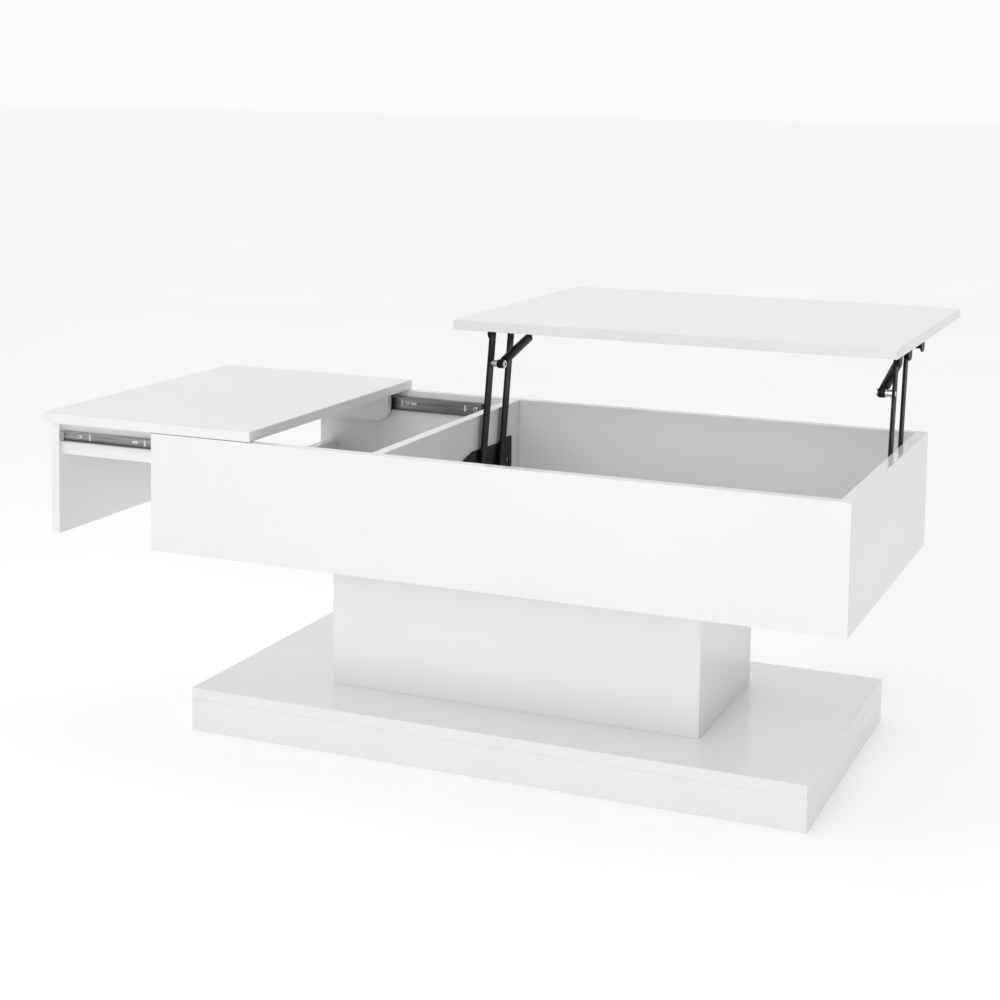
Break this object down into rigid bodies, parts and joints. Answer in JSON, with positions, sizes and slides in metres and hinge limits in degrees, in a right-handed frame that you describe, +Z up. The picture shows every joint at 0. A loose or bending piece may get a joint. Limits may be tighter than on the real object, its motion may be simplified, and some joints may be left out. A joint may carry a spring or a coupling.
{
  "type": "lift top coffee table",
  "caption": "Storage coffee table on a pedestal and plinth, with a lid that lifts up and over and a second top that slides out.",
  "frame": {"origin": "on the floor, at the centre of the plinth's rest face", "axes": "+X along the table's length towards the lid's end, +Y to the side the lid moves to, +Z up"},
  "size_m": [1.305, 0.8669, 0.6474],
  "materials": {
    "white_lacquer": "white high-gloss lacquer on fibreboard",
    "raw_board": "plain softwood",
    "zinc_steel": "zinc-plated rolled steel",
    "plated_fasteners": "nickel-plated steel",
    "black_powder_coat": "black powder coat",
    "polished_rod": "polished hard chrome",
    "black_plastic": "black moulded plastic",
    "cam_zinc": "die-cast zinc"
  },
  "bodies": {
    "root": {"base_board": "white_lacquer", "base_skirt_front": "white_lacquer", "base_skirt_back": "white_lacquer", "base_skirt_left": "white_lacquer", "base_skirt_right": "white_lacquer", "base_brace": "raw_board", "pedestal_front": "white_lacquer", "pedestal_back": "white_lacquer", "pedestal_left": "white_lacquer", "pedestal_right": "white_lacquer", "pedestal_cleats": "raw_board", "box_front": "white_lacquer", "box_back": "white_lacquer", "box_right": "white_lacquer", "box_floor": "white_lacquer", "box_divider": "white_lacquer", "box_cross_rail": "white_lacquer", "slide_outer_back": "zinc_steel", "slide_outer_front": "zinc_steel", "slide_outer_screws": "plated_fasteners", "slide_bumpers": "black_plastic", "lift_bracket_left": "black_powder_coat", "lift_bracket_right": "black_powder_coat", "lift_bracket_screws": "plated_fasteners", "base_pivots": "black_powder_coat"},
    "sliding_top": {"sliding_board": "white_lacquer", "sliding_end_panel": "white_lacquer", "slide_strip_back": "white_lacquer", "slide_strip_front": "white_lacquer", "slide_inner_back": "zinc_steel", "slide_inner_front": "zinc_steel", "slide_inner_screws": "plated_fasteners", "slide_end_blocks": "black_plastic", "cam_locks": "cam_zinc"},
    "ball_cages": {"ball_cage_back": "zinc_steel", "ball_cage_front": "zinc_steel"},
    "near_arms": {"near_arm_left": "black_powder_coat", "near_arm_right": "black_powder_coat", "strut_bolts": "plated_fasteners"},
    "far_arms": {"far_arm_left": "black_powder_coat", "far_arm_right": "black_powder_coat"},
    "lid": {"lid_board": "white_lacquer", "lid_bracket_left": "black_powder_coat", "lid_bracket_right": "black_powder_coat", "lid_bracket_screws": "plated_fasteners", "lid_pivots": "black_powder_coat", "strut_studs": "black_powder_coat"},
    "strut_cylinders": {"strut_cylinder_left": "black_powder_coat", "strut_cylinder_right": "black_powder_coat"},
    "strut_rods": {"strut_rod_left": "polished_rod", "strut_rod_right": "polished_rod"}
  },
  "joints": [
    {"name": "arm_lift", "type": "hinge", "parent": "root", "child": "near_arms", "pos_m": [0, 0.085, 0.34505], "axis": [1, 0, 0], "range_deg": [0, 74.4]},
    {"name": "far_arm_lift", "type": "hinge", "parent": "root", "child": "far_arms", "pos_m": [0, 0.166, 0.34505], "axis": [1, 0, 0], "range_deg": [-0.05, 74.45]},
    {"name": "lid_level", "type": "hinge", "parent": "near_arms", "child": "lid", "pos_m": [0, 0.12943, 0.6134], "axis": [1, 0, 0], "range_deg": [-74.45, 0.05]},
    {"name": "strut_swing", "type": "hinge", "parent": "near_arms", "child": "strut_cylinders", "pos_m": [0, 0.12093, 0.5621], "axis": [1, 0, 0], "range_deg": [-80.38, 0.05]},
    {"name": "strut_stroke", "type": "slide", "parent": "strut_cylinders", "child": "strut_rods", "axis": [0, 0.9719, 0.2355], "range_m": [-0.06027, 0.0001]},
    {"name": "top_slide", "type": "slide", "parent": "root", "child": "sliding_top", "axis": [1, 0, 0], "range_m": [0, 0.205]},
    {"name": "cage_slide", "type": "slide", "parent": "root", "child": "ball_cages", "axis": [1, 0, 0], "range_m": [-0.0001, 0.1026]}
  ],
  "couplings": [
    {"joint": "far_arm_lift", "follows": "arm_lift", "ratio": 1},
    {"joint": "lid_level", "follows": "arm_lift", "ratio": -1},
    {"joint": "strut_swing", "follows": "arm_lift", "ratio": -1.0796},
    {"joint": "strut_stroke", "follows": "arm_lift", "m_per_rad": -0.046333},
    {"joint": "cage_slide", "follows": "top_slide", "ratio": 0.5}
  ]
}
